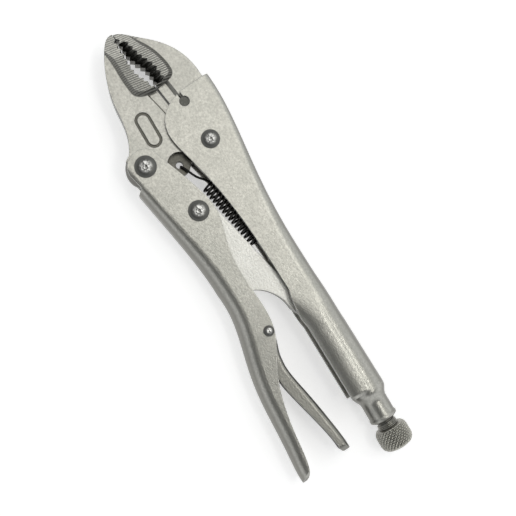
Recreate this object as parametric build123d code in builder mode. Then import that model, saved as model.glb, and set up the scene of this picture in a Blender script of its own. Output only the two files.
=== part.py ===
import math
import os
from build123d import *

os.makedirs("parts", exist_ok=True)

# Locking pliers lying on their side: jaws towards -X, adjusting knob towards +X,
# fixed handle towards +Y. The origin is under the jaw pivot, on the surface they lie on.

# Steel sheet, forgings and gaps
sheet = 2.4
jaw_thick = 10.0
side_play = 0.15
pivot_play = 0.06
head_rise = 1.55
hub_gap = 0.4
jaw_gap = 1.0
tip_gap = 0.35

jaw_half = jaw_thick / 2
channel_half = jaw_half + side_play
cheek_half = channel_half + sheet
tube_radius = cheek_half + head_rise
mid_z = tube_radius
mid = Plane.XY.offset(mid_z)
below = Plane.XY.offset(-1)
through = 2 * mid_z + 2

# Pivots in the side view
jaw_pivot = (0.0, 0.0)
handle_pivot = (-3.55, -34.6)
toggle_pivot = (27.9, -23.1)
lever_pivot = (95.9, -23.4)
jaw_pin = (-22.5, -1.6)
hook_lug = (3.0, -19.2)

# Rivets and pins
jaw_shank, jaw_head = 3.2, 4.7
handle_shank, handle_head = 3.6, 5.45
toggle_shank, toggle_head = 3.4, 5.2
lever_shank, lever_head, lever_rise = 1.6, 2.7, 0.9
jaw_pin_radius, jaw_pin_depth = 2.6, 0.5

# Fixed handle
cheek_front = -29.3
spine_front = 15.4
spine_hump = 16.1
tube_start = 99.0
tube_end = 147.0
screw_y = 5.3
tube_fall = 1.4
neck_start, neck_end, neck_radius = 154.0, 164.5, 6.9
slot_width = 1.9

# Adjusting screw and knob
screw_radius = 4.75
screw_play = 0.08
screw_tip = 118.0
nose_gap = 2.4
knob_front, knob_end, knob_radius = 168.0, 180.3, 8.7

# Jaws
rim_rise = 2.1
land_half = 3.0
tooth_depth = 1.5
teeth = 10
cutter_depth = 1.6
hub_radius = 9.5
heel_radius, heel_top, heel_wall = 9.9, 1.4, 3.4
lug_radius, lug_hole, lug_half = 5.6, 1.8, 1.6
oval_length, oval_width, oval_line, oval_depth = 19.0, 8.2, 1.4, 0.6
rim_half = jaw_half + rim_rise

# Toggle link and release lever
link_thick = 6.4
link_hub = 7.6
nose_radius = 4.3
lever_half = 4.3
lever_sheet = 1.5

# Return spring
wire = 1.25
coil_radius = 2.7
coil_pitch = 2.35
coil_turns = 16
coil_start = (18.5, -12.4)
coil_slope = 10.7
spring_tab = (66.0, -1.6)
tab_hole = 1.4


def cross_plane(x):
    return Plane(origin=(x, 0, mid_z), x_dir=(0, 1, 0), z_dir=(1, 0, 0))


def touch_point(centre, radius, outside, side):
    # where a straight cheek from a free edge touches the circle of the bend
    du, dv = outside[0] - centre[0], outside[1] - centre[1]
    turn = math.acos(radius / math.hypot(du, dv))
    angle = math.atan2(dv, du) - side * turn
    return (centre[0] + radius * math.cos(angle), centre[1] + radius * math.sin(angle))


def channel_face(x, spine, edge, half_spine, half_edge, bend, inset, side):
    # section of a pressed channel: spine at y = spine, free edges at y = edge
    top = spine - side * inset
    low = edge - side * (1.0 if inset else 0.0)
    radius = bend - inset if bend - inset > 0.3 else 0.3
    across = half_spine - inset - radius
    centre = (top - side * radius, across)
    free = (low, half_edge - inset)
    touch = touch_point(centre, radius, free, side)
    start_angle = math.atan2(touch[1] - centre[1], touch[0] - centre[0])
    end_angle = 0.0 if side > 0 else math.pi
    middle = (start_angle + end_angle) / 2
    bow = (centre[0] + radius * math.cos(middle), centre[1] + radius * math.sin(middle))
    with BuildSketch(cross_plane(x)) as section:
        with BuildLine():
            Line(free, touch)
            ThreePointArc(touch, bow, (top, across))
            Line((top, across), (top, -across))
            ThreePointArc((top, -across), (bow[0], -bow[1]), (touch[0], -touch[1]))
            Line((touch[0], -touch[1]), (free[0], -free[1]))
            Line((free[0], -free[1]), free)
        make_face()
    return section.sketch.face()


def channel(stations, inset, side):
    return [channel_face(*station, inset, side) for station in stations]


def tooth_line(bow, depth):
    # zigzag whose crests lie on a curve, roots towards positive or negative depth in Y
    curve = Spline(*bow)
    points = []
    for i in range(teeth):
        crest = curve @ (i / teeth)
        root = curve @ ((i + 0.5) / teeth)
        points.append((crest.X, crest.Y))
        points.append((root.X, root.Y + depth))
    last = curve @ 1
    points.append((last.X, last.Y))
    return points


def rivet(centre, shank, head, rise):
    # two domed heads with a small flat on top, on a shank through the cheeks
    x = centre[0]
    flat = 0.45 * head
    seat = mid_z + cheek_half
    with BuildPart() as body:
        with BuildSketch(Plane.XZ.offset(-centre[1])):
            with BuildLine():
                Polyline((x, mid_z), (x + shank, mid_z), (x + shank, seat), (x + head, seat),
                         (x + head, seat + 0.3 * rise))
                ThreePointArc((x + head, seat + 0.3 * rise), (x + 0.76 * head, seat + 0.78 * rise),
                              (x + flat, seat + rise))
                Polyline((x + flat, seat + rise), (x, seat + rise), (x, mid_z))
            make_face()
        revolve(axis=Axis((x, centre[1], 0), (0, 0, 1)))
        mirror(about=mid)
    return body.part


# Fixed handle: channel from the cheeks to the round grip, then the drawn socket
tube_spine = screw_y + tube_radius
skirt = -19
cheek_stations = [
    (cheek_front - 4, spine_front - 0.2, skirt, cheek_half, cheek_half, 2.8),
    (-11.5, spine_hump, skirt, cheek_half, cheek_half, 2.9),
    (18.5, 13.3, skirt, cheek_half, cheek_half, 4.0),
    (40, 11.6, skirt, cheek_half, cheek_half, 5.0),
    (60, 11.4, skirt, cheek_half, cheek_half, 6.2),
    (tube_start - 18, 12.1, skirt, cheek_half, cheek_half, 6.8),
]
swell_stations = [
    cheek_stations[-1],
    (tube_start - 14, tube_spine - tube_fall - 0.65, skirt, cheek_half + 0.1 * head_rise,
     cheek_half - 0.1, 7.1),
    (tube_start - 8, tube_spine - tube_fall - 0.3, skirt, cheek_half + 0.45 * head_rise,
     cheek_half - 0.8, 7.6),
    (tube_start, tube_spine - tube_fall, skirt, cheek_half + 0.8 * head_rise, cheek_half - 2.3, 8.2),
    (tube_start + 12, tube_spine - 0.72 * tube_fall, skirt, tube_radius - 0.04, cheek_half - 2.8, 8.6),
]
grip_stations = [
    swell_stations[-1],
    (tube_end, tube_spine, skirt, tube_radius - 0.02, cheek_half - 2.8, 8.8),
]
handle_lengths = [cheek_stations, swell_stations, grip_stations]
screw_axis = Axis((0, screw_y, mid_z), (1, 0, 0))
socket_top = tube_spine - 0.03
neck_top = screw_y + neck_radius
bore_top = screw_y + screw_radius + screw_play
tab_left, tab_right = spring_tab[0] - 3.4, spring_tab[0] + 3.4

with BuildPart() as fixed_handle:
    for stations in handle_lengths:
        loft(sections=channel(stations, 0, 1))
    for stations in handle_lengths:
        loft(sections=channel(stations, sheet, 1), mode=Mode.SUBTRACT)
    with BuildSketch(below):
        with BuildLine():
            Polyline((tube_end + 4, 25), (cheek_front - 1.1, 25), (cheek_front + 0.9, 4))
            Spline((cheek_front + 0.9, 4), (-25.6, -7.2), (-19, -14.7), (-11.5, -16.8), (-1.5, -15.2),
                   (13.5, -11.3), (38.5, -7.0), (60, -5.3), (tube_start - 15.5, -4.4))
            Spline((tube_start - 15.5, -4.4), (tube_start - 5.5, -6.3), (tube_start + 6, -5.5))
            Polyline((tube_start + 6, -5.5), (tube_end, -4.9), (tube_end + 4, -4.9), (tube_end + 4, 25))
        make_face()
    extrude(amount=through, mode=Mode.INTERSECT)
    with BuildSketch(mid):
        with BuildLine():
            Line((tube_end - 1, socket_top), (tube_end + 0.4, socket_top))
            Spline((tube_end + 0.4, socket_top), (neck_start, neck_top), tangents=((1, 0), (1, 0)))
            Polyline((neck_start, neck_top), (neck_end - 3, neck_top), (neck_end - 2, neck_top + 0.45),
                     (neck_end - 1, neck_top + 0.3), (neck_end, neck_top - 1.2), (neck_end, bore_top),
                     (neck_start - 1, bore_top), (tube_end + 1, tube_spine - sheet),
                     (tube_end - 1, tube_spine - sheet), (tube_end - 1, socket_top))
        make_face()
    revolve(axis=screw_axis)
    with BuildSketch(mid):
        with BuildLine():
            Line((tab_left, 10), (tab_left, spring_tab[1]))
            ThreePointArc((tab_left, spring_tab[1]), (spring_tab[0], spring_tab[1] - 2.7),
                          (tab_right, spring_tab[1]))
            Polyline((tab_right, spring_tab[1]), (tab_right, 10), (tab_left, 10))
        make_face()
        with Locations(spring_tab):
            Circle(tab_hole, mode=Mode.SUBTRACT)
    extrude(amount=sheet / 2, both=True)
    with BuildSketch(below):
        with Locations(jaw_pivot):
            Circle(jaw_shank)
        with Locations(jaw_pin):
            Circle(jaw_pin_radius)
        with Locations((jaw_pin[0] - 3.5, jaw_pin[1] - 0.46)):
            Rectangle(7.4, slot_width, rotation=7.5)
    extrude(amount=through, mode=Mode.SUBTRACT)

# The line along which the two jaws part behind the mouth, and the two grip lines
part_tilt = 0.14
part_left = (-36.6, -10.0)


def part_y(x, shift):
    return part_left[1] + part_tilt * (x - part_left[0]) + shift


grip_start = -66.2
nip_y = -15.3
upper_throat = (part_left[0], part_left[1] + jaw_gap / 2)
lower_throat = (part_left[0], part_left[1] - jaw_gap / 2)
upper_bow = [(grip_start, nip_y + tip_gap / 2), (-60, -15.1), (-54.5, -14.4), (-50.5, -12.6), (-47, -10.8),
             (-43, -9.8), upper_throat]
lower_bow = [(grip_start, nip_y - tip_gap / 2), (-60, -15.5), (-54, -15.6), (-49, -15.5), (-44, -14.1),
             (-40, -11.9), lower_throat]
upper_line = tooth_line(upper_bow, tooth_depth)
lower_line = tooth_line(lower_bow, -tooth_depth)

seat = hub_radius + hub_gap
seat_drop = 5.9
seat_end = (-math.sqrt(seat ** 2 - seat_drop ** 2), -seat_drop)
with BuildSketch(mid) as fixed_jaw_side:
    with BuildLine():
        Spline((-68.8, -16.4), (-67.9, -12.6), (-64.8, -8.6), (-59.6, -2.2), (-54.0, 3.8), (-48.5, 8.0),
               (-41.5, 11.2), (-31.9, 12.9))
        Spline((-31.9, 12.9), (-11.5, spine_hump - sheet - 0.5), (-3, spine_hump - sheet - 1.3))
        Line((-3, spine_hump - sheet - 1.3), (-3, math.sqrt(seat ** 2 - 9)))
        ThreePointArc((-3, math.sqrt(seat ** 2 - 9)), (-seat, 0), seat_end)
        Polyline(seat_end, (seat_end[0] - 1, part_y(seat_end[0] - 1, jaw_gap / 2)),
                 (part_left[0], part_left[1] + jaw_gap / 2), (part_left[0], -14), (-68.8, -16.4))
    make_face()

upper_rim_base = [(-74, -11), (-62.2, -7.0), (-55.8, -2.8), (-50.5, -0.4), (-45.3, 1.0), (-40.5, 1.5)]
with BuildSketch(mid.offset(jaw_half)) as upper_rim:
    with BuildLine():
        Spline(*upper_rim_base)
        Spline(upper_rim_base[-1], (-37.4, 0.2), (-35.6, -4.6), (-34.8, -11))
        Polyline((-34.8, -11), (-34.8, -18), (-74, -22), upper_rim_base[0])
    make_face()

part_angle = math.atan(part_tilt)
cutter_start = -35.0
cutter_plane = Plane(origin=(cutter_start, part_y(cutter_start, 0), mid_z),
                     x_dir=(-math.sin(part_angle), math.cos(part_angle), 0),
                     z_dir=(math.cos(part_angle), math.sin(part_angle), 0))
nose_plane = Plane(origin=(-57, 0, mid_z + rim_half), z_dir=(-0.23, 0, 0.973))

with BuildPart() as fixed_jaw:
    extrude(to_extrude=upper_rim.sketch, amount=rim_rise)
    chamfer(faces().sort_by(Axis.Z)[-1].edges(), rim_rise - 0.05)
    extrude(to_extrude=fixed_jaw_side.sketch, amount=through, mode=Mode.INTERSECT)
    extrude(to_extrude=fixed_jaw_side.sketch, amount=jaw_half)
    with BuildSketch(mid):
        with BuildLine():
            Polyline(*upper_line, (part_left[0], -60), (-90, -60), (-90, upper_line[0][1]), upper_line[0])
        make_face()
    extrude(amount=mid_z, mode=Mode.SUBTRACT)
    with BuildSketch(mid.offset(land_half)):
        with BuildLine():
            Polyline(*upper_line[2:], (part_left[0], -60), (upper_line[2][0], -60), upper_line[2])
        make_face()
    extrude(amount=7.5, dir=(0, 1, 1), mode=Mode.SUBTRACT)
    with BuildSketch(cutter_plane):
        with BuildLine():
            Polyline((-6, jaw_half + 1), (-6, jaw_half - cutter_depth), (5.1, jaw_half - cutter_depth),
                     (6.8, jaw_half), (6.8, jaw_half + 1), (-6, jaw_half + 1))
        make_face()
    extrude(amount=21, mode=Mode.SUBTRACT)
    split(bisect_by=nose_plane, keep=Keep.BOTTOM)
    with Locations((jaw_pin[0], jaw_pin[1], mid_z)):
        Cylinder(jaw_pin_radius, through, mode=Mode.SUBTRACT)
    mirror(about=mid)

# Movable jaw: grip, cutter, hub on the jaw pivot, hook lug and round heel
heel_start = (handle_pivot[0] + heel_radius * math.cos(math.radians(205)),
              handle_pivot[1] + heel_radius * math.sin(math.radians(205)))
heel_low = (handle_pivot[0], handle_pivot[1] - heel_radius)
heel_end = (handle_pivot[0] + heel_radius, handle_pivot[1])
heel_turn = math.radians(225)
heel_plane = Plane(origin=(*handle_pivot, mid_z), x_dir=(math.cos(heel_turn), math.sin(heel_turn), 0),
                   z_dir=(math.sin(heel_turn), -math.cos(heel_turn), 0))
hub_right = (hub_radius * math.cos(math.radians(-62)), hub_radius * math.sin(math.radians(-62)))
hub_top = (0, hub_radius)
hub_left = (-math.sqrt(hub_radius ** 2 - 49), -7.0)
lug_right = (hook_lug[0] + lug_radius * math.cos(math.radians(-10)),
             hook_lug[1] + lug_radius * math.sin(math.radians(-10)))
lug_bow = (hook_lug[0] + lug_radius * math.cos(math.radians(25)),
           hook_lug[1] + lug_radius * math.sin(math.radians(25)))
lug_top = (hook_lug[0] + lug_radius * math.cos(math.radians(60)),
           hook_lug[1] + lug_radius * math.sin(math.radians(60)))
with BuildSketch(mid) as movable_jaw_side:
    with BuildLine():
        Polyline((part_left[0], -12), (part_left[0], part_left[1] - jaw_gap / 2),
                 (hub_left[0] - 1, part_y(hub_left[0] - 1, -jaw_gap / 2)), hub_left)
        ThreePointArc(hub_left, hub_top, hub_right)
        Line(hub_right, lug_top)
        ThreePointArc(lug_top, lug_bow, lug_right)
        Line(lug_right, heel_end)
        ThreePointArc(heel_end, heel_low, heel_start)
        Spline(heel_start, (-18.2, -35.7), (-27.3, -33.2), (-37.4, -32.3), (-47.4, -30.3), (-57.5, -26.4),
               (-65.2, -21.9), (-68.6, -18.6), (-69.2, -15.2))
        Polyline((-69.2, -15.2), (-68, -14), (part_left[0], -12))
    make_face()

lower_rim_base = [(-76, -26), (-62.5, -23.7), (-55, -23.0), (-48, -22.9), (-40, -22.2)]
with BuildSketch(mid.offset(jaw_half)) as lower_rim:
    with BuildLine():
        Spline(*lower_rim_base)
        Spline(lower_rim_base[-1], (-36.4, -20.7), (-34.6, -17.5), (-34.1, -11))
        Polyline((-34.1, -11), (-34.1, -4), (-76, -4), lower_rim_base[0])
    make_face()

with BuildPart() as movable_jaw:
    extrude(to_extrude=lower_rim.sketch, amount=rim_rise)
    chamfer(faces().sort_by(Axis.Z)[-1].edges(), rim_rise - 0.05)
    extrude(to_extrude=movable_jaw_side.sketch, amount=through, mode=Mode.INTERSECT)
    extrude(to_extrude=movable_jaw_side.sketch, amount=jaw_half)
    with BuildSketch(heel_plane):
        with BuildLine():
            Polyline((heel_radius - heel_top, jaw_half), (heel_radius, jaw_half - heel_wall),
                     (heel_radius + 2, jaw_half - heel_wall), (heel_radius + 2, jaw_half),
                     (heel_radius - heel_top, jaw_half))
        make_face()
    revolve(axis=Axis((*handle_pivot, 0), (0, 0, 1)), revolution_arc=130, mode=Mode.SUBTRACT)
    with BuildSketch(mid):
        with BuildLine():
            Polyline(*lower_line, (part_left[0], 40), (-90, 40), (-90, lower_line[0][1]), lower_line[0])
        make_face()
    extrude(amount=mid_z, mode=Mode.SUBTRACT)
    with BuildSketch(mid.offset(jaw_half)):
        with BuildLine():
            Polyline((cutter_start, part_y(cutter_start, 6)), (-12, part_y(-12, 6)),
                     (-20.3, part_y(-20.3, -4.6)), (cutter_start + 0.9, part_y(cutter_start, -5.8)),
                     (cutter_start, part_y(cutter_start, 6)))
        make_face()
    extrude(amount=-cutter_depth, mode=Mode.SUBTRACT)
    with BuildSketch(mid.offset(jaw_half)):
        with Locations((-19, -24)):
            SlotOverall(oval_length, oval_width)
            SlotOverall(oval_length - 2 * oval_line, oval_width - 2 * oval_line, mode=Mode.SUBTRACT)
    extrude(amount=-oval_depth, mode=Mode.SUBTRACT)
    split(bisect_by=nose_plane, keep=Keep.BOTTOM)
    with Locations((hook_lug[0], hook_lug[1], mid_z + lug_half + jaw_half)):
        Cylinder(lug_radius + 0.4, 2 * jaw_half, mode=Mode.SUBTRACT)
    with Locations((hook_lug[0], hook_lug[1], mid_z)):
        Cylinder(lug_hole, through, mode=Mode.SUBTRACT)
    with Locations((jaw_pivot[0], jaw_pivot[1], mid_z)):
        Cylinder(jaw_shank + pivot_play, through, mode=Mode.SUBTRACT)
    with Locations((handle_pivot[0], handle_pivot[1], mid_z)):
        Cylinder(handle_shank + pivot_play, through, mode=Mode.SUBTRACT)
    mirror(about=mid)

# Lower handle: round front cheeks, rounded spine, tail that ends in a closed tip
tail_end = 169.3
tail_half = 6.4
lower_skirt = -10
hand_stations = [
    (-18, -48.8, lower_skirt, cheek_half, cheek_half, 4.6),
    (8.5, -43.9, lower_skirt, cheek_half, cheek_half, 5.0),
    (28.5, -40.4, lower_skirt, cheek_half, cheek_half, 5.8),
    (48.5, -37.3, lower_skirt, cheek_half, cheek_half, 6.8),
    (68.5, -35.7, lower_skirt, cheek_half, cheek_half, 7.2),
]
tail_stations = [
    hand_stations[-1],
    (88.5, -36.6, lower_skirt, cheek_half - 0.1, cheek_half, 7.1),
    (108.5, -41.3, lower_skirt, cheek_half - 0.4, cheek_half - 0.1, 6.8),
    (128.5, -44.1, lower_skirt, cheek_half - 0.8, cheek_half - 0.4, 6.5),
    (148.5, -45.2, lower_skirt, cheek_half - 1.1, cheek_half - 0.8, 6.2),
    (tail_end - 8, -46.2, lower_skirt, tail_half - 0.2, tail_half, 5.5),
    (tail_end + 0.7, -46.1, lower_skirt, tail_half - 0.4, tail_half, 5.2),
]
tail_inside = tail_stations[:-1] + [(tail_end - 2.3,) + tail_stations[-1][1:]]
lobe_radius = 8.8
lobe_start = (handle_pivot[0] + lobe_radius * math.cos(math.radians(128)),
              handle_pivot[1] + lobe_radius * math.sin(math.radians(128)))
lobe_left = (handle_pivot[0] - lobe_radius, handle_pivot[1])
lobe_end = (handle_pivot[0], handle_pivot[1] - lobe_radius)
with BuildPart() as lower_handle:
    for stations in (hand_stations, tail_stations):
        loft(sections=channel(stations, 0, -1))
    for stations in (hand_stations, tail_inside):
        loft(sections=channel(stations, sheet, -1), mode=Mode.SUBTRACT)
    with BuildSketch(below):
        with BuildLine():
            ThreePointArc(lobe_start, lobe_left, lobe_end)
            Polyline(lobe_end, (4.6, -41.5), (8.2, -46), (8.2, -60), (tail_end, -60), (tail_end, -45.0))
            Spline((tail_end, -45.0), (167.2, -42.2), (160.5, -39.5), (148.5, -38.0), (138.5, -36.6),
                   (128.5, -34.5), (118.5, -31.2), (108.5, -26.2), (98.5, -21.2), (90.5, -19.5),
                   (73.5, -20), (48.5, -18.7), (34, -15.2), (18.5, -17.5), lobe_start)
        make_face()
    extrude(amount=through, mode=Mode.INTERSECT)
    with BuildSketch(Plane.XZ):
        with Locations(((tail_end - tail_half - 40) / 2 - 0.5, mid_z)):
            Rectangle(tail_end - tail_half + 40, 2 * through)
        with Locations((tail_end - tail_half, mid_z)):
            Circle(tail_half)
    extrude(amount=100, both=True, mode=Mode.INTERSECT)
    with BuildSketch(below):
        with Locations(handle_pivot):
            Circle(handle_shank)
        with Locations(toggle_pivot):
            Circle(toggle_shank)
        with Locations(lever_pivot):
            Circle(lever_shank)
    extrude(amount=through, mode=Mode.SUBTRACT)
    with Locations((handle_pivot[0], handle_pivot[1], mid_z)):
        Cylinder(heel_radius + hub_gap, 2 * channel_half + 0.2, mode=Mode.SUBTRACT)

# Toggle link: plate from the toggle pivot to the nose in front of the screw tip
nose_centre = (screw_tip - nose_gap - nose_radius, screw_y)
with BuildPart() as toggle_link:
    with BuildSketch(mid):
        with BuildLine():
            Polyline((30, -14.8), (75, -4.2), (96, 4.6), (nose_centre[0], nose_centre[1] + nose_radius),
                     (nose_centre[0], nose_centre[1] - nose_radius), (92.5, -7.6))
            ThreePointArc((92.5, -7.6), (79.6, -13.0), (75, -19.4))
            Polyline((75, -19.4), (74.2, -22.6), (58, -26), (30, -31.2), (30, -14.8))
        make_face()
        with Locations(toggle_pivot):
            Circle(8.5)
        with Locations(nose_centre):
            Circle(nose_radius)
    extrude(amount=link_thick / 2, both=True)
    with Locations((toggle_pivot[0], toggle_pivot[1], mid_z)):
        Cylinder(link_hub, jaw_thick)
        Cylinder(toggle_shank + pivot_play, through, mode=Mode.SUBTRACT)

# Release lever: small channel with its spine towards the fixed handle
lever_nose, lever_end = 73.0, 167.0
lever_waist = (lever_nose + lever_pivot[0]) / 2
lever_skirt = -36
lever_front = [
    (lever_nose - 2, -26.6, lever_skirt, lever_half, lever_half, 2.0),
    (lever_waist, -23.6, lever_skirt, lever_half, lever_half, 2.0),
    (lever_pivot[0], -20.5, lever_skirt, lever_half, lever_half, 2.0),
    (104, -22.3, lever_skirt, lever_half, lever_half, 2.0),
    (112, -24.2, lever_skirt, lever_half, lever_half, 2.1),
]
lever_rear = [
    lever_front[-1],
    (121, -24.0, lever_skirt, lever_half, lever_half, 2.2),
    (131, -22.1, lever_skirt, lever_half, lever_half, 2.4),
    (142.8, -20.0, lever_skirt, lever_half, lever_half, 2.6),
    (155, -18.2, lever_skirt, lever_half, lever_half, 2.6),
    (lever_end + 1, -17.4, lever_skirt, lever_half, lever_half, 2.6),
]
lever_inside = lever_rear[:-1] + [(lever_end - 1.8,) + lever_rear[-1][1:]]
with BuildPart() as release_lever:
    for stations in (lever_front, lever_rear):
        loft(sections=channel(stations, 0, 1))
    for stations in (lever_front, lever_inside):
        loft(sections=channel(stations, lever_sheet, 1), mode=Mode.SUBTRACT)
    with BuildSketch(below):
        with BuildLine():
            Polyline((lever_nose, -29.6), (lever_nose, -10), (lever_end - 4, -10), (lever_end - 4, -16.6))
            ThreePointArc((lever_end - 4, -16.6), (lever_end, -19.6), (lever_end - 3.4, -22.1))
            Spline((lever_end - 3.4, -22.1), (155, -23.4), (147.5, -25.1), (132.5, -28.8), (120, -30.9),
                   (104, -29.4), (lever_waist + 6, -28.6), (lever_nose, -29.6))
        make_face()
    extrude(amount=through, mode=Mode.INTERSECT)
    with BuildSketch(Plane.XZ):
        with Locations((lever_end - lever_half - 60, mid_z)):
            Rectangle(120, 4 * lever_half)
        with Locations((lever_end - lever_half, mid_z)):
            Circle(lever_half)
    extrude(amount=100, both=True, mode=Mode.INTERSECT)
    with Locations((lever_pivot[0], lever_pivot[1], mid_z)):
        Cylinder(lever_shank + pivot_play, through, mode=Mode.SUBTRACT)

# Adjusting screw with a blunt tip, and the knob pressed on its plain end
knob_seat = knob_front + 3.0
with BuildPart() as adjusting_screw:
    with BuildSketch(mid):
        with BuildLine():
            Polyline((screw_tip, screw_y), (screw_tip, screw_y + 2.6),
                     (screw_tip + 2, screw_y + screw_radius), (knob_seat, screw_y + screw_radius),
                     (knob_seat, screw_y + 3.5), (knob_end - 2.5, screw_y + 3.5),
                     (knob_end - 2.5, screw_y), (screw_tip, screw_y))
        make_face()
    revolve(axis=screw_axis)

with BuildPart() as screw_knob:
    with BuildSketch(mid):
        with BuildLine():
            Polyline((knob_seat, screw_y + 3.54), (knob_seat, screw_y + 5.6))
            Spline((knob_seat, screw_y + 5.6), (knob_front + 0.5, screw_y + 6.6),
                   (knob_front + 0.7, screw_y + 7.6), (knob_front + 3.4, screw_y + knob_radius),
                   tangents=((-1, 0.3), (1, 0)))
            Line((knob_front + 3.4, screw_y + knob_radius), (knob_end - 4, screw_y + knob_radius))
            Spline((knob_end - 4, screw_y + knob_radius), (knob_end, screw_y + 3.4),
                   tangents=((1, 0), (0, -1)))
            Polyline((knob_end, screw_y + 3.4), (knob_end, screw_y), (knob_end - 2.46, screw_y),
                     (knob_end - 2.46, screw_y + 3.54), (knob_seat, screw_y + 3.54))
        make_face()
    revolve(axis=screw_axis)

# Cross pin of the fixed jaw, ground flush a little below the cheeks
with BuildPart() as fixed_jaw_pin:
    with Locations((jaw_pin[0], jaw_pin[1], mid_z)):
        Cylinder(jaw_pin_radius - 0.01, 2 * (cheek_half - jaw_pin_depth))

# Return spring: one wire from the hook lug through the turns to the tab in the handle
axis_dir = Vector(math.cos(math.radians(coil_slope)), math.sin(math.radians(coil_slope)), 0)
axis_up = Vector(-axis_dir.Y, axis_dir.X, 0)
coil_origin = Vector(coil_start[0], coil_start[1], mid_z)


def coil_point(turn):
    angle = 2 * math.pi * turn
    ring = axis_up * (coil_radius * math.cos(angle)) + Vector(0, 0, coil_radius * math.sin(angle))
    return coil_origin + axis_dir * (coil_pitch * turn) + ring


def coil_way(turn):
    angle = 2 * math.pi * turn
    around = axis_up * (-math.sin(angle)) + Vector(0, 0, math.cos(angle))
    return (around * (2 * math.pi * coil_radius) + axis_dir * coil_pitch).normalized()


def joint_point(start, start_way, end, end_way):
    # where the two arcs of a biarc meet, with equal arms
    span = end - start
    both = start_way + end_way
    spread = 2 * (1 - start_way.dot(end_way))
    reach = span.dot(both)
    if spread < 1e-6:
        arm = span.dot(span) / (4 * span.dot(end_way))
    else:
        arm = (math.sqrt(reach ** 2 + spread * span.dot(span)) - reach) / spread
    return (start + start_way * arm + end - end_way * arm) * 0.5


up = Vector(0, 0, 1)
hook_pull = lug_hole - wire / 2 - pivot_play
front_hole = Vector(hook_lug[0], hook_lug[1], mid_z) + axis_dir * hook_pull
rear_hole = Vector(spring_tab[0], spring_tab[1], mid_z)
knots = [(front_hole - up * 2.6, up), (front_hole + up * 2.0, up)]
knots.append((front_hole + Vector(4.2, 2.0, 3.4), Vector(0.88, 0.47, 0)))
knots.append((coil_point(0) + Vector(-3.4, -2.6, 0.6), Vector(0.62, 0.72, -0.3).normalized()))
for half in range(2 * coil_turns + 1):
    knots.append((coil_point(half / 2), coil_way(half / 2)))
knots.append((rear_hole - axis_dir * 6.0 + up * 2.6, axis_dir))
knots.append((rear_hole + up * 1.6, up * -1))
knots.append((rear_hole - up * 2.4, up * -1))

with BuildPart() as return_spring:
    with BuildLine() as wire_path:
        for first, second in zip(knots[:-1], knots[1:]):
            gap = second[0] - first[0]
            if gap.normalized().dot(first[1]) > 0.99999 and first[1].dot(second[1]) > 0.99999:
                Line(first[0], second[0])
            else:
                meet = joint_point(*first, *second)
                TangentArc(first[0], meet, tangent=first[1])
                TangentArc(second[0], meet, tangent=second[1] * -1)
    with BuildSketch(Plane(origin=knots[0][0], z_dir=knots[0][1])):
        RegularPolygon(wire / 2 * 1.05, 6)
    sweep()

samples = [wire_path.wires()[0].position_at(i / 900) for i in range(901)]
step = (samples[1] - samples[0]).length
near = 1e9
for i, first in enumerate(samples):
    for second in samples[i + int(3 * wire / step) + 2:]:
        near = min(near, (first - second).length)
print("least gap of the spring to itself", round(near - wire, 2))

jaw_pivot_rivet = rivet(jaw_pivot, jaw_shank, jaw_head, head_rise)
jaw_handle_rivet = rivet(handle_pivot, handle_shank, handle_head, head_rise)
toggle_rivet = rivet(toggle_pivot, toggle_shank, toggle_head, head_rise)
release_lever_pin = rivet(lever_pivot, lever_shank, lever_head, lever_rise)

pieces = {
    "fixed_handle": fixed_handle.part,
    "fixed_jaw": fixed_jaw.part,
    "fixed_jaw_pin": fixed_jaw_pin.part,
    "jaw_pivot_rivet": jaw_pivot_rivet,
    "movable_jaw": movable_jaw.part,
    "jaw_handle_rivet": jaw_handle_rivet,
    "lower_handle": lower_handle.part,
    "toggle_rivet": toggle_rivet,
    "toggle_link": toggle_link.part,
    "release_lever": release_lever.part,
    "release_lever_pin": release_lever_pin,
    "return_spring": return_spring.part,
    "adjusting_screw": adjusting_screw.part,
    "screw_knob": screw_knob.part,
}
for name, piece in pieces.items():
    piece.label = name
    export_step(piece, "parts/" + name + ".step")
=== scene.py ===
import math

import bpy
from mathutils import Matrix, Vector


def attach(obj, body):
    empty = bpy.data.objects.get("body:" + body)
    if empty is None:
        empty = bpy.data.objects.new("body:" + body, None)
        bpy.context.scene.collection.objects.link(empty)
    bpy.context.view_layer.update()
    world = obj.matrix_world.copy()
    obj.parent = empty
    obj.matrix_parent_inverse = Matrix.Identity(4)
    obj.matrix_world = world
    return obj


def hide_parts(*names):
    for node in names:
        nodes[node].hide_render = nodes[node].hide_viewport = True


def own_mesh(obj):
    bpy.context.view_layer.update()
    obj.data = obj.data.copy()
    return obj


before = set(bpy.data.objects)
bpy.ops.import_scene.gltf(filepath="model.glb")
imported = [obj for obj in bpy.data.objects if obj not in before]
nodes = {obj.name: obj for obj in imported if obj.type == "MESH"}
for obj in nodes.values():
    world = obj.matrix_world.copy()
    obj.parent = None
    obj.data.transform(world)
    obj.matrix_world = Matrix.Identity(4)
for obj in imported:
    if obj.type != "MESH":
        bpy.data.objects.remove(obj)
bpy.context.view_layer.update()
mm = 0.001
midHeight = 9.1  # middle plane of the tool above the floor, in mm
midZ = midHeight * mm
print("frame loaded:", len(nodes), "nodes")


# small helpers for node trees

def addNode(tree, kind, **settings):
    node = tree.nodes.new(kind)
    for key, value in settings.items():
        setattr(node, key, value)
    return node


def join(tree, source, target):
    tree.links.new(source, target)


def feed(tree, socket, value):
    # a plain value is set on the socket, an output of another node is linked to it
    if isinstance(value, (int, float, tuple)):
        socket.default_value = value
    else:
        join(tree, value, socket)


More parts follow.
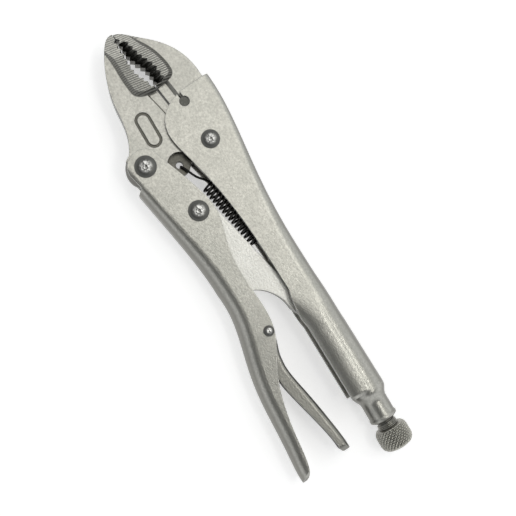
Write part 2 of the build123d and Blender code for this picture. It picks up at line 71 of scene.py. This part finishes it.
def maths(tree, operation, first, second=None, clamp=False):
    node = addNode(tree, "ShaderNodeMath", operation=operation, use_clamp=clamp)
    feed(tree, node.inputs[0], first)
    if second is not None:
        feed(tree, node.inputs[1], second)
    return node.outputs[0]


def remap(tree, value, low, high, outLow=0.0, outHigh=1.0, smooth=False):
    node = addNode(tree, "ShaderNodeMapRange", interpolation_type="SMOOTHSTEP" if smooth else "LINEAR")
    join(tree, value, node.inputs["Value"])
    for key, number in zip(("From Min", "From Max", "To Min", "To Max"), (low, high, outLow, outHigh)):
        feed(tree, node.inputs[key], number)
    return node.outputs["Result"]


mixSockets = {"factor": 0, "first": 6, "second": 7, "result": 2}  # the colour sockets of a Mix node


def mixColour(tree, factor, first, second):
    node = addNode(tree, "ShaderNodeMix", data_type="RGBA")
    feed(tree, node.inputs[mixSockets["factor"]], factor)
    feed(tree, node.inputs[mixSockets["first"]], first)
    feed(tree, node.inputs[mixSockets["second"]], second)
    return node.outputs[mixSockets["result"]]


def tint(tree, mask, amount, tone, colour):
    # the tone goes over to the colour where the mask is set
    return mixColour(tree, maths(tree, "MULTIPLY", mask, amount), tone, colour)


def noiseOf(tree, scale, detail, roughness=0.5):
    coords = addNode(tree, "ShaderNodeTexCoord")
    noise = addNode(tree, "ShaderNodeTexNoise")
    join(tree, coords.outputs["Object"], noise.inputs["Vector"])
    for key, value in (("Scale", scale), ("Detail", detail), ("Roughness", roughness)):
        feed(tree, noise.inputs[key], value)
    return noise.outputs["Fac"]


def axesOf(tree, kind="Object"):
    coords = addNode(tree, "ShaderNodeTexCoord")
    split = addNode(tree, "ShaderNodeSeparateXYZ")
    join(tree, coords.outputs[kind], split.inputs[0])
    return split.outputs


def newGroup(name, inputs, outputs):
    group = bpy.data.node_groups.new(name, "ShaderNodeTree")
    for label, default in inputs.items():
        kind = "NodeSocketVector" if isinstance(default, tuple) else "NodeSocketFloat"
        socket = group.interface.new_socket(name=label, in_out="INPUT", socket_type=kind)
        socket.default_value = default
    for label, kind in outputs.items():
        group.interface.new_socket(name=label, in_out="OUTPUT", socket_type=kind)
    return group, addNode(group, "NodeGroupInput").outputs, addNode(group, "NodeGroupOutput").inputs


def place(tree, group, values):
    node = addNode(tree, "ShaderNodeGroup", node_tree=group)
    for key, value in values.items():
        feed(tree, node.inputs[key], value)
    return node.outputs


# shared effects

# shot-blasted plate: fine pits and a little mottling
blastLook = {
    "pitDetail": 4.0, "pitRoughness": 0.65, "speckRange": (0.34, 0.66),
    "mottleDetail": 3.0, "mottleRange": (0.3, 0.7),
}


def makeBlastGrain(look):
    group, given, out = newGroup(
        "blastGrain",
        {"Pit Scale": 1500.0, "Mottle Scale": 110.0},
        {"Height": "NodeSocketFloat", "Speck": "NodeSocketFloat", "Mottle": "NodeSocketFloat"})
    pits = noiseOf(group, given["Pit Scale"], look["pitDetail"], look["pitRoughness"])
    mottle = noiseOf(group, given["Mottle Scale"], look["mottleDetail"])
    join(group, pits, out["Height"])
    join(group, remap(group, pits, *look["speckRange"]), out["Speck"])
    join(group, remap(group, mottle, *look["mottleRange"]), out["Mottle"])
    return group


# masks of the outward edges, broken up so that the wear is not even, and of the inward corners; the edge
# mask carries rubbed wear and a painted highlight, the corner mask carries painted shade
edgeWearHighlightShadeLook = {
    "samples": 6, "bendRange": (0.995, 0.86), "cornerShadeRange": (0.75, 0.15),
    "breakDetail": 3.0, "breakRange": (0.3, 0.6, 0.35, 1.0),
}


def makeEdgeWearHighlightShade(look):
    group, given, out = newGroup(
        "edgeWear",
        {"Width": 0.35 * mm, "Breakup": 400.0, "Reach": 1.6 * mm},
        {"Edge": "NodeSocketFloat", "Corner Shade": "NodeSocketFloat", "Soft Normal": "NodeSocketVector"})
    soft = addNode(group, "ShaderNodeBevel", samples=look["samples"])
    join(group, given["Width"], soft.inputs["Radius"])
    geometry = addNode(group, "ShaderNodeNewGeometry")
    dot = addNode(group, "ShaderNodeVectorMath", operation="DOT_PRODUCT")
    join(group, soft.outputs["Normal"], dot.inputs[0])
    join(group, geometry.outputs["Normal"], dot.inputs[1])
    bent = remap(group, dot.outputs["Value"], *look["bendRange"])
    closeness = addNode(group, "ShaderNodeAmbientOcclusion", samples=look["samples"])
    join(group, given["Reach"], closeness.inputs["Distance"])
    cornerShade = remap(group, closeness.outputs["AO"], *look["cornerShadeRange"])
    broken = remap(group, noiseOf(group, given["Breakup"], look["breakDetail"]), *look["breakRange"])
    outward = maths(group, "MULTIPLY", bent, maths(group, "SUBTRACT", 1.0, cornerShade, clamp=True))
    join(group, maths(group, "MULTIPLY", outward, broken), out["Edge"])
    join(group, cornerShade, out["Corner Shade"])
    join(group, soft.outputs["Normal"], out["Soft Normal"])
    return group


def makeSideWallShade():
    # mask of the walls and bends that turn away from the flat sides of the tool, where painted shade
    # darkens the colour
    group, given, out = newGroup(
        "sideWallShade", {"Flat From": 0.94, "Steep From": 0.62}, {"Wall Shade": "NodeSocketFloat"})
    upright = maths(group, "ABSOLUTE", axesOf(group, "Normal")["Z"])
    join(group, remap(group, upright, given["Flat From"], given["Steep From"], smooth=True), out["Wall Shade"])
    return group


def makeFileLines():
    # straight cut lines across the grip bands of the jaws, only where the band stands up;
    # from Tip From to the tips the band gets lower by Tip Fall
    group, given, out = newGroup(
        "fileLines",
        {"Spacing": 1.1 * mm, "Slant": 0.25, "Band Height": 5.35 * mm,
         "Tip From": -60.0 * mm, "Tip Fall": 0.236},
        {"Height": "NodeSocketFloat", "Band": "NodeSocketFloat"})
    axes = axesOf(group)
    across = maths(group, "ADD", axes["X"], maths(group, "MULTIPLY", axes["Y"], given["Slant"]))
    wave = maths(group, "PINGPONG", maths(group, "DIVIDE", across, given["Spacing"]), 0.5)
    away = maths(group, "ABSOLUTE", maths(group, "SUBTRACT", axes["Z"], midZ))
    fromTip = maths(group, "SUBTRACT", axes["X"], given["Tip From"])
    slope = maths(group, "MULTIPLY", fromTip, given["Tip Fall"])
    limit = maths(group, "ADD", given["Band Height"], maths(group, "MINIMUM", slope, 0.0))
    raised = maths(group, "GREATER_THAN", away, limit)
    join(group, maths(group, "MULTIPLY", wave, raised), out["Height"])
    join(group, raised, out["Band"])
    return group


def makeHollowShade():
    # mask of a sunk place of slot shape in the flat of a jaw, below a given height over the mid plane,
    # where painted shade darkens the colour
    group, given, out = newGroup(
        "hollowShade",
        {"Centre": (0.0, 0.0, 0.0), "Half Length": 0.0, "Radius": 5.0 * mm, "Below": 4.7 * mm, "Turn": 0.0},
        {"Mask": "NodeSocketFloat"})
    coords = addNode(group, "ShaderNodeTexCoord")
    shift = addNode(group, "ShaderNodeVectorMath", operation="SUBTRACT")
    join(group, coords.outputs["Object"], shift.inputs[0])
    join(group, given["Centre"], shift.inputs[1])
    turned = addNode(group, "ShaderNodeVectorRotate", rotation_type="Z_AXIS")
    join(group, shift.outputs[0], turned.inputs["Vector"])
    join(group, maths(group, "MULTIPLY", given["Turn"], -1.0), turned.inputs["Angle"])
    split = addNode(group, "ShaderNodeSeparateXYZ")
    join(group, turned.outputs[0], split.inputs[0])
    x, y, z = split.outputs
    along = maths(group, "SUBTRACT", maths(group, "ABSOLUTE", x), given["Half Length"])
    along = maths(group, "MAXIMUM", along, 0.0)
    square = maths(group, "ADD", maths(group, "MULTIPLY", along, along), maths(group, "MULTIPLY", y, y))
    inside = maths(group, "LESS_THAN", maths(group, "SQRT", square), given["Radius"])
    sunk = maths(group, "LESS_THAN", maths(group, "ABSOLUTE", z), given["Below"])
    join(group, maths(group, "MULTIPLY", inside, sunk), out["Mask"])
    return group


def makeCrown():
    # soft crown over the lower half of the round grip: lean at the ridge, bowed away towards the skirt
    group, given, out = newGroup(
        "crown",
        {"Ridge": 5.3 * mm, "Reach": 11.0 * mm, "Lean": 0.18, "Bow": 1700.0,
         "Start": 82.0 * mm, "Full": 106.0 * mm, "End": 147.5 * mm, "End Fade": 2.5 * mm},
        {"Height": "NodeSocketFloat"})
    axes = axesOf(group)
    below = maths(group, "MAXIMUM", maths(group, "SUBTRACT", given["Ridge"], axes["Y"]), 0.0)
    below = maths(group, "MINIMUM", below, given["Reach"])
    bowed = maths(group, "MULTIPLY", given["Bow"], maths(group, "POWER", below, 3.0))
    height = maths(group, "SUBTRACT", maths(group, "MULTIPLY", given["Lean"], below), bowed)
    rising = remap(group, axes["X"], given["Start"], given["Full"], smooth=True)
    fadeFrom = maths(group, "SUBTRACT", given["End"], given["End Fade"])
    ending = remap(group, axes["X"], given["End"], fadeFrom, smooth=True)
    share = maths(group, "MULTIPLY", rising, ending)
    join(group, maths(group, "MULTIPLY", height, share), out["Height"])
    return group


blastGrain = makeBlastGrain(blastLook)
edgeWear = makeEdgeWearHighlightShade(edgeWearHighlightShadeLook)
sideWallShade = makeSideWallShade()
fileLines = makeFileLines()
hollowShade = makeHollowShade()
crown = makeCrown()
print("shared effects built")


def newMetal(name):
    material = bpy.data.materials.new(name)
    material.use_nodes = True
    tree = material.node_tree
    shader = tree.nodes["Principled BSDF"]
    shader.inputs["Metallic"].default_value = 1.0
    return material, tree, shader


def addBump(tree, shader, height, normal, strength):
    bump = addNode(tree, "ShaderNodeBump")
    bump.inputs["Strength"].default_value = strength
    bump.inputs["Distance"].default_value = 1.0  # the heights are in metres
    join(tree, height, bump.inputs["Height"])
    join(tree, normal, bump.inputs["Normal"])
    join(tree, bump.outputs["Normal"], shader.inputs["Normal"])


def platedMetal(name, look):
    # satin plate over blasted steel; in its own tones it serves every piece but the domed rivets
    material, tree, shader = newMetal(name)
    grain = place(tree, blastGrain, {"Pit Scale": look["pitScale"], "Mottle Scale": look["mottleScale"]})
    wearHighlightShade = place(tree, edgeWear, {"Width": look["edgeWidth"], "Reach": look["cornerShadeReach"]})
    wallShadeMask = place(tree, sideWallShade, {})
    tone = mixColour(tree, grain["Mottle"], look["dark"], look["light"])
    tone = tint(tree, grain["Speck"], look["speckAmount"], tone, look["speck"])
    # painted shade: the walls and bends turned away from the flat sides are darkened
    tone = tint(tree, wallShadeMask["Wall Shade"], look["wallShadeAmount"], tone, look["wallShade"])
    # the outward edges are lightened, partly as rubbed wear and partly as a painted highlight
    tone = tint(tree, wearHighlightShade["Edge"], look["edgeAmount"], tone, look["edge"])
    # painted shade: the inward corners are darkened
    tone = tint(tree, wearHighlightShade["Corner Shade"], look["cornerShadeAmount"], tone, look["cornerShade"])
    height = maths(tree, "MULTIPLY", grain["Height"], look["pitDepth"])
    if "lineSpacing" in look:
        lines = place(tree, fileLines, {"Spacing": look["lineSpacing"], "Slant": look["lineSlant"]})
        height = maths(tree, "ADD", height, maths(tree, "MULTIPLY", lines["Height"], look["lineDepth"]))
        # painted shade: the colour darkens in the cut lines of the raised bands
        grooveShade = remap(tree, lines["Height"], *look["lineEdge"], 0.0, look["lineShade"])
        tone = tint(tree, lines["Band"], grooveShade, tone, look["cornerShade"])
    if "gripLean" in look:
        swell = place(tree, crown, {"Lean": look["gripLean"], "Bow": look["gripBow"]})
        height = maths(tree, "ADD", height, maths(tree, "DIVIDE", swell["Height"], look["bumpStrength"]))
    for spot in look.get("shadedHollows", ()):
        x, y = spot["centre"]
        sunk = place(tree, hollowShade, {
            "Centre": (x * mm, y * mm, midZ), "Half Length": spot["halfLength"] * mm,
            "Radius": spot["radius"] * mm, "Below": spot["below"] * mm, "Turn": math.radians(spot["turn"])})
        # painted shade: the sunk places are darkened
        tone = tint(tree, sunk["Mask"], look["hollowShadeAmount"], tone, look["hollowShade"])
    join(tree, tone, shader.inputs["Base Color"])
    rough = remap(tree, grain["Speck"], 0.0, 1.0, look["roughLow"], look["roughHigh"])
    rough = maths(tree, "SUBTRACT", rough, maths(tree, "MULTIPLY", wearHighlightShade["Edge"], look["edgePolish"]))
    join(tree, rough, shader.inputs["Roughness"])
    addBump(tree, shader, height, wearHighlightShade["Soft Normal"], look["bumpStrength"])
    return material


def dress(name, material):
    slots = nodes[name].data.materials
    slots.clear()
    slots.append(material)


# handles: light warm grey satin plate
handlePlate = {
    "light": (0.64, 0.63, 0.575, 1), "dark": (0.56, 0.555, 0.505, 1), "mottleScale": 110.0,
    "speck": (0.36, 0.355, 0.325, 1), "speckAmount": 0.6,
    "edge": (0.80, 0.80, 0.77, 1), "edgeAmount": 0.7, "edgeWidth": 0.45 * mm, "edgePolish": 0.1,
    "cornerShade": (0.05, 0.05, 0.045, 1), "cornerShadeAmount": 0.85, "cornerShadeReach": 1.6 * mm,
    "wallShade": (0.20, 0.196, 0.18, 1), "wallShadeAmount": 0.9,
    "pitScale": 1050.0, "pitDepth": 0.18 * mm, "bumpStrength": 0.6,
    "roughLow": 0.28, "roughHigh": 0.37,
}
gripPlate = handlePlate | {"gripLean": 0.195, "gripBow": 1600.0}
# the release lever: the handle plate darkened as painted shade
leverPlateShaded = handlePlate | {"light": (0.37, 0.365, 0.33, 1), "dark": (0.30, 0.295, 0.265, 1)}
dress("fixed_handle", platedMetal("fixedHandlePlate", gripPlate))
dress("lower_handle", platedMetal("lowerHandlePlate", handlePlate | {"mottleScale": 90.0}))
dress("release_lever", platedMetal("leverPlateShaded", leverPlateShaded))
print("handles dressed")

# jaws: the same plate on forged steel, with cut lines on the raised grip bands
jawPlate = handlePlate | {
    "light": (0.62, 0.61, 0.56, 1), "dark": (0.54, 0.535, 0.49, 1), "pitScale": 950.0, "edgeAmount": 0.25,
    "wallShade": (0.10, 0.097, 0.087, 1),
    "lineSpacing": 1.1 * mm, "lineSlant": -0.06, "lineDepth": 0.5 * mm,
    "lineEdge": (0.22, 0.04), "lineShade": 0.8,
}
# painted shade in the lug recess, in the oval recess and along the cutter step of the lower jaw
lugHollow = {"centre": (3.0, -19.2), "halfLength": 0.0, "radius": 6.1, "below": 3.0, "turn": 0.0}
ovalGroove = {"centre": (-19.0, -24.0), "halfLength": 5.4, "radius": 4.2, "below": 4.7, "turn": 0.0}
cutterStep = {"centre": (-27.3, -13.6), "halfLength": 7.0, "radius": 0.45, "below": 3.6, "turn": 13.4}
lowerJawPlate = jawPlate | {
    "lineSlant": -0.1, "hollowShade": (0.065, 0.062, 0.05, 1), "hollowShadeAmount": 0.85,
    "shadedHollows": (lugHollow, ovalGroove, cutterStep),
}
dress("fixed_jaw", platedMetal("upperJawPlate", jawPlate))
dress("movable_jaw", platedMetal("lowerJawPlate", lowerJawPlate))
print("jaws dressed")

# toggle link: duller plate, painted paler as painted light
linkSteelLit = handlePlate | {
    "light": (0.90, 0.895, 0.85, 1), "dark": (0.84, 0.835, 0.79, 1), "speckAmount": 0.25,
    "roughLow": 0.36, "roughHigh": 0.46,
}
dress("toggle_link", platedMetal("linkPlateLit", linkSteelLit))
print("link dressed")


# rivets: peened heads, bright and faceted in the middle; the shares are of the head's radius
rivetSteel = {
    "bright": (0.80, 0.80, 0.78, 1), "dull": (0.15, 0.15, 0.14, 1), "dullShare": 0.72, "brightShare": 0.3,
    "cornerShade": (0.03, 0.03, 0.028, 1), "cornerShadeAmount": 0.9, "cornerShadeReach": 1.3 * mm, "edgeWidth": 0.3 * mm,
    "peenScale": 900.0, "peenDepth": 0.22 * mm, "facetRange": (0.25, 0.75, 0.1, 1.0),
    "roughRim": 0.45, "roughMiddle": 0.26, "bumpStrength": 1.0,
}
rivetPlaces = {
    "jaw_pivot_rivet": {"centre": (0.0, 0.0), "radius": 4.7},
    "jaw_handle_rivet": {"centre": (-3.55, -34.6), "radius": 5.45},
    "toggle_rivet": {"centre": (27.9, -23.1), "radius": 5.2},
    "release_lever_pin": {"centre": (95.9, -23.4), "radius": 2.7},
}


def rivetMaterial(name, look, spot):
    material, tree, shader = newMetal(name)
    x, y = spot["centre"]
    radius = spot["radius"] * mm
    coords = addNode(tree, "ShaderNodeTexCoord")
    shift = addNode(tree, "ShaderNodeVectorMath", operation="SUBTRACT")
    shift.inputs[1].default_value = (x * mm, y * mm, midZ)
    join(tree, coords.outputs["Object"], shift.inputs[0])
    flat = addNode(tree, "ShaderNodeVectorMath", operation="MULTIPLY")
    flat.inputs[1].default_value = (1, 1, 0)
    join(tree, shift.outputs[0], flat.inputs[0])
    length = addNode(tree, "ShaderNodeVectorMath", operation="LENGTH")
    join(tree, flat.outputs[0], length.inputs[0])
    middle = remap(tree, length.outputs["Value"], look["dullShare"] * radius, look["brightShare"] * radius,
                   smooth=True)
    peen = addNode(tree, "ShaderNodeTexVoronoi", feature="F1")
    peen.inputs["Scale"].default_value = look["peenScale"]
    join(tree, shift.outputs[0], peen.inputs["Vector"])
    facet = addNode(tree, "ShaderNodeSeparateXYZ")
    join(tree, peen.outputs["Color"], facet.inputs[0])
    wearHighlightShade = place(tree, edgeWear, {"Width": look["edgeWidth"], "Reach": look["cornerShadeReach"]})
    shine = maths(tree, "MULTIPLY", middle, remap(tree, facet.outputs["X"], *look["facetRange"]))
    tone = mixColour(tree, shine, look["dull"], look["bright"])
    # painted shade: the corner round the head is darkened
    tone = tint(tree, wearHighlightShade["Corner Shade"], look["cornerShadeAmount"], tone, look["cornerShade"])
    join(tree, tone, shader.inputs["Base Color"])
    rough = remap(tree, middle, 0.0, 1.0, look["roughRim"], look["roughMiddle"])
    join(tree, rough, shader.inputs["Roughness"])
    dents = maths(tree, "MULTIPLY", peen.outputs["Distance"], middle)
    height = maths(tree, "MULTIPLY", dents, look["peenDepth"])
    addBump(tree, shader, height, wearHighlightShade["Soft Normal"], look["bumpStrength"])
    return material


for rivetName, rivetPlace in rivetPlaces.items():
    dress(rivetName, rivetMaterial(rivetName + "Steel", rivetSteel, rivetPlace))

# the flush pin of the upper jaw is dark and plain
pinSteel = handlePlate | {
    "light": (0.15, 0.15, 0.14, 1), "dark": (0.10, 0.10, 0.09, 1), "speck": (0.08, 0.08, 0.07, 1),
    "edgeAmount": 0.2,
}
dress("fixed_jaw_pin", platedMetal("jawPinSteel", pinSteel))
print("rivets dressed")


# helpers for the turned pieces, in mm on the axis of the screw

screwY = 5.3


def meshPiece(name, points, faces, material):
    mesh = bpy.data.meshes.new(name)
    mesh.from_pydata(points, [], faces)
    mesh.update()
    mesh.materials.append(material)
    mesh.shade_smooth()
    piece = bpy.data.objects.new(name, mesh)
    bpy.context.scene.collection.objects.link(piece)
    return piece


def turnedPoint(x, radius, angle):
    return (x * mm, (screwY + radius * math.cos(angle)) * mm, midZ + radius * math.sin(angle) * mm)


def turnedFaces(rows, sides):
    # skin between the rings of points, and a flat cap at each end
    faces = []
    for row in range(rows - 1):
        for side in range(sides):
            nextSide = (side + 1) % sides
            faces.append((row * sides + side, row * sides + nextSide,
                          (row + 1) * sides + nextSide, (row + 1) * sides + side))
    faces.append(tuple(range(sides))[::-1])
    faces.append(tuple(range((rows - 1) * sides, rows * sides)))
    return faces


def sawWave(value):
    part = value - math.floor(value)
    return 1 - abs(2 * part - 1)


# adjusting screw with a rolled thread
screwLook = {
    "tip": 118.0, "end": 167.2, "radius": 4.72, "noseRadius": 2.6, "noseLength": 2.2,
    "pitch": 1.6, "depth": 0.75, "crest": 1.35, "sides": 36, "step": 0.2,
}


def makeScrew(look, material):
    sides = look["sides"]
    rows = int((look["end"] - look["tip"]) / look["step"]) + 1
    points = []
    for row in range(rows):
        x = look["tip"] + row * look["step"]
        nose = min(1.0, (x - look["tip"]) / look["noseLength"])
        for side in range(sides):
            ridge = min(1.0, look["crest"] * sawWave(x / look["pitch"] - side / sides))
            radius = look["radius"] - look["depth"] * (1 - ridge)
            radius = radius * nose + look["noseRadius"] * (1 - nose)
            points.append(turnedPoint(x, radius, 2 * math.pi * side / sides))
    return meshPiece("threaded_screw", points, turnedFaces(rows, sides), material)


threadSteel = handlePlate | {
    "light": (0.40, 0.39, 0.36, 1), "dark": (0.30, 0.295, 0.27, 1), "pitScale": 2200.0,
    "edgeWidth": 0.2 * mm, "cornerShadeReach": 1.0 * mm, "roughLow": 0.3, "roughHigh": 0.4,
}
screw = makeScrew(screwLook, platedMetal("threadSteel", threadSteel))
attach(screw, "screw")
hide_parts("adjusting_screw")
print("screw threaded:", len(screw.data.vertices), "points")

# knurled knob: turned profile with a threaded neck, crossed knurls on the round and on the shoulders
knobLook = {
    "profile": [(166.0, 0.5), (166.0, 4.6), (166.35, 5.25), (166.75, 4.55), (167.15, 5.25), (167.55, 4.55),
                (167.95, 5.25), (168.3, 4.7), (168.4, 6.2), (168.8, 7.5), (170.0, 8.3), (171.4, 8.68),
                (176.3, 8.68), (178.0, 8.2), (179.3, 7.0), (180.0, 5.2), (180.26, 3.4), (180.26, 0.5)],
    "widest": 8.68, "around": 26, "depth": 1.0, "crest": 1.5, "from": 168.6, "fadeIn": 0.8,
    "to": 179.2, "fadeOut": 1.2, "sides": 312, "rowLength": 0.2,
}


def knobLine(look):
    line = []
    for (x0, r0), (x1, r1) in zip(look["profile"][:-1], look["profile"][1:]):
        count = max(1, int(math.hypot(x1 - x0, r1 - r0) / look["rowLength"]))
        line += [(x0 + (x1 - x0) * i / count, r0 + (r1 - r0) * i / count) for i in range(count)]
    return line + [look["profile"][-1]]


def makeKnob(look, material):
    line = knobLine(look)
    sides = look["sides"]
    pitch = 2 * math.pi * look["widest"] / look["around"]
    points = []
    run = 0.0  # length along the profile
    for index, (x, radius) in enumerate(line):
        if index:
            run += math.hypot(x - line[index - 1][0], radius - line[index - 1][1])
        fade = min(1.0, (x - look["from"]) / look["fadeIn"], (look["to"] - x) / look["fadeOut"])
        depth = look["depth"] * max(0.0, fade)
        for side in range(sides):
            share = side / sides * look["around"]
            pyramid = min(sawWave(share + run / pitch), sawWave(share - run / pitch))
            cut = depth * (1 - min(1.0, look["crest"] * pyramid))
            points.append(turnedPoint(x, radius - cut, 2 * math.pi * side / sides))
    return meshPiece("knurled_knob", points, turnedFaces(len(line), sides), material)


knobSteel = handlePlate | {
    "light": (0.88, 0.87, 0.77, 1), "dark": (0.72, 0.71, 0.62, 1), "pitScale": 1800.0,
    "wallShade": (0.34, 0.33, 0.30, 1), "edgeWidth": 0.25 * mm, "cornerShadeReach": 1.5 * mm, "cornerShadeAmount": 1.0,
    "roughLow": 0.34, "roughHigh": 0.46,
}
knob = makeKnob(knobLook, platedMetal("knobSteel", knobSteel))
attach(knob, "knob")
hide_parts("screw_knob")
print("knob knurled:", len(knob.data.vertices), "points")

# return spring: round wire, hooked into the jaw lug and into the tab of the fixed handle;
# lugHook is x, y, z from the lug, leadIn x, y, z from the first coil, tabHook along and up from the tab
springLook = {
    "wire": 1.25, "coilRadius": 2.7, "pitch": 2.35, "turns": 16, "start": (18.5, -12.4), "slope": 10.7,
    "lug": (4.1, -19.0), "tab": (66.0, -1.6), "perTurn": 14, "openLength": 0.928,
    "lugHook": [(0, 0, -2.6), (0, 0, -1.2), (0, 0, 1.0), (0, 0, 2.4),
                (1.2, 0.6, 3.35), (4.2, 2.0, 3.4), (8.4, 4.0, 2.6)],
    "leadIn": (-3.4, -2.6, 0.6),
    "tabHook": [(-9.0, 2.5), (-6.0, 2.6), (-2.6, 3.2), (0, 2.6), (0, 1.2), (0, -1.0), (0, -2.4)],
    "order": 3, "smoothSteps": 2, "roundSteps": 3,
}


def springLine(look):
    slope = math.radians(look["slope"])
    along = Vector((math.cos(slope), math.sin(slope), 0))
    across = Vector((-math.sin(slope), math.cos(slope), 0))
    up = Vector((0, 0, 1))
    start, lug, tab = (Vector((*look[key], midHeight)) for key in ("start", "lug", "tab"))

    def coil(turn):
        angle = 2 * math.pi * turn
        ring = across * (look["coilRadius"] * math.cos(angle)) + up * (look["coilRadius"] * math.sin(angle))
        return start + along * (look["pitch"] * turn) + ring

    line = [lug + Vector(offset) for offset in look["lugHook"]]
    line.append(coil(0) + Vector(look["leadIn"]))
    line += [coil(i / look["perTurn"]) for i in range(look["turns"] * look["perTurn"] + 1)]
    line += [tab + along * ahead + up * rise for ahead, rise in look["tabHook"]]
    return [point * mm for point in line]


def makeSpring(look, material):
    line = springLine(look)
    curve = bpy.data.curves.new("springCurve", "CURVE")
    curve.dimensions = "3D"
    curve.bevel_depth = look["wire"] / 2 * mm
    curve.bevel_resolution = look["roundSteps"]
    curve.resolution_u = look["smoothSteps"]
    curve.use_fill_caps = True
    spline = curve.splines.new("NURBS")
    spline.points.add(len(line) - 1)
    for point, spot in zip(spline.points, line):
        point.co = (*spot, 1)
    spline.order_u = look["order"]
    spline.use_endpoint_u = True
    holder = bpy.data.objects.new("springCurve", curve)
    bpy.context.scene.collection.objects.link(holder)
    bpy.context.view_layer.update()
    mesh = bpy.data.meshes.new_from_object(holder.evaluated_get(bpy.context.evaluated_depsgraph_get()))
    bpy.data.objects.remove(holder)
    mesh.name = "coil_spring"
    mesh.materials.clear()
    mesh.materials.append(material)
    mesh.shade_smooth()
    spring = bpy.data.objects.new("coil_spring", mesh)
    bpy.context.scene.collection.objects.link(spring)
    return spring


springSteel = handlePlate | {
    "light": (0.055, 0.055, 0.055, 1), "dark": (0.03, 0.03, 0.03, 1), "speck": (0.02, 0.02, 0.02, 1),
    "edge": (0.2, 0.2, 0.2, 1), "edgeAmount": 0.1, "edgeWidth": 0.1 * mm, "cornerShadeReach": 0.8 * mm,
    "roughLow": 0.32, "roughHigh": 0.45,
}
spring = makeSpring(springLook, platedMetal("springWire", springSteel))
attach(spring, "frame")
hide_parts("return_spring")
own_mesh(spring)
print("spring wound:", len(spring.data.vertices), "points")


# pale floor, just under the tool; its lift is a glow that the camera and the metal see as white
floorLook = {
    "size": 14.0, "drop": 0.2 * mm, "colour": (0.93, 0.93, 0.93, 1), "roughness": 0.9, "lift": 0.48,
}


def makeFloor(look):
    mesh = bpy.data.meshes.new("floor")
    half = look["size"] / 2
    corners = [(x * half, y * half, -look["drop"]) for x, y in ((-1, -1), (1, -1), (1, 1), (-1, 1))]
    mesh.from_pydata(corners, [], [(0, 1, 2, 3)])
    floor = bpy.data.objects.new("floor", mesh)
    bpy.context.scene.collection.objects.link(floor)
    material = bpy.data.materials.new("paleFloor")
    material.use_nodes = True
    tree = material.node_tree
    shader = tree.nodes["Principled BSDF"]
    shader.inputs["Base Color"].default_value = look["colour"]
    shader.inputs["Roughness"].default_value = look["roughness"]
    shader.inputs["Specular IOR Level"].default_value = 0.0
    path = addNode(tree, "ShaderNodeLightPath")
    seen = maths(tree, "MAXIMUM", path.outputs["Is Camera Ray"], path.outputs["Is Glossy Ray"])
    seen = maths(tree, "MAXIMUM", seen, path.outputs["Is Transmission Ray"])
    shader.inputs["Emission Color"].default_value = (1, 1, 1, 1)
    join(tree, maths(tree, "MULTIPLY", seen, look["lift"]), shader.inputs["Emission Strength"])
    mesh.materials.append(material)


# lamps: a broad one over the jaws, and a small one that lights the ridge of the grip
lampColour = (1.0, 0.995, 0.965)
lampLooks = {
    "keyLight": {"place": (-0.129, 0.312, 0.9), "aim": (-0.039, 0.057, 0.0), "size": (1.0, 0.55),
                 "roll": 52.0, "energy": 2.35},
    "gripLight": {"place": (0.33, 0.275, 0.9), "aim": (0.15, 0.035, 0.0), "size": (0.3, 0.17),
                  "roll": 10.0, "energy": 0.8},
}


def addArea(name, look):
    light = bpy.data.lights.new(name, "AREA")
    light.shape = "RECTANGLE"
    light.size, light.size_y = look["size"]
    light.energy = look["energy"]
    light.color = lampColour
    lamp = bpy.data.objects.new(name, light)
    lamp.location = look["place"]
    facing = (Vector(look["aim"]) - Vector(look["place"])).to_track_quat("-Z", "Y").to_matrix()
    lamp.rotation_euler = (facing @ Matrix.Rotation(math.radians(look["roll"]), 3, "Z")).to_euler()
    bpy.context.scene.collection.objects.link(lamp)


# pale walls all round, dimmer straight overhead where the lamps hang
worldLook = {"colour": (0.97, 0.985, 1.0, 1), "horizon": 0.86, "overhead": 0.11, "dimRange": (0.5, 0.8)}


def makeWorld(look):
    world = bpy.data.worlds.new("studio")
    world.use_nodes = True
    tree = world.node_tree
    upward = axesOf(tree, "Generated")["Z"]
    strength = remap(tree, upward, *look["dimRange"], look["horizon"], look["overhead"], smooth=True)
    background = tree.nodes["Background"]
    background.inputs["Color"].default_value = look["colour"]
    join(tree, strength, background.inputs["Strength"])
    bpy.context.scene.world = world


# camera: the tool lies across the picture from corner to corner
cameraLook = {
    "place": (0.0625, -0.0692, 0.4091), "lens": 56.4, "sensor": 36.0, "clipStart": 0.01,
    "right": (0.5075, 0.8519, 0.1291), "up": (-0.8616, 0.5018, 0.0760), "back": (0.0, -0.1498, 0.9887),
}


def makeCamera(look):
    camera = bpy.data.cameras.new("photoCamera")
    camera.lens = look["lens"]
    camera.sensor_width = look["sensor"]
    camera.clip_start = look["clipStart"]
    holder = bpy.data.objects.new("photoCamera", camera)
    bpy.context.scene.collection.objects.link(holder)
    axes = Matrix([look["right"], look["up"], look["back"]]).transposed()
    holder.matrix_world = Matrix.Translation(look["place"]) @ axes.to_4x4()
    bpy.context.scene.camera = holder


makeFloor(floorLook)
for lampName, lampLook in lampLooks.items():
    addArea(lampName, lampLook)
makeWorld(worldLook)
makeCamera(cameraLook)
bpy.context.scene.view_settings.view_transform = "Standard"
print("stage set")
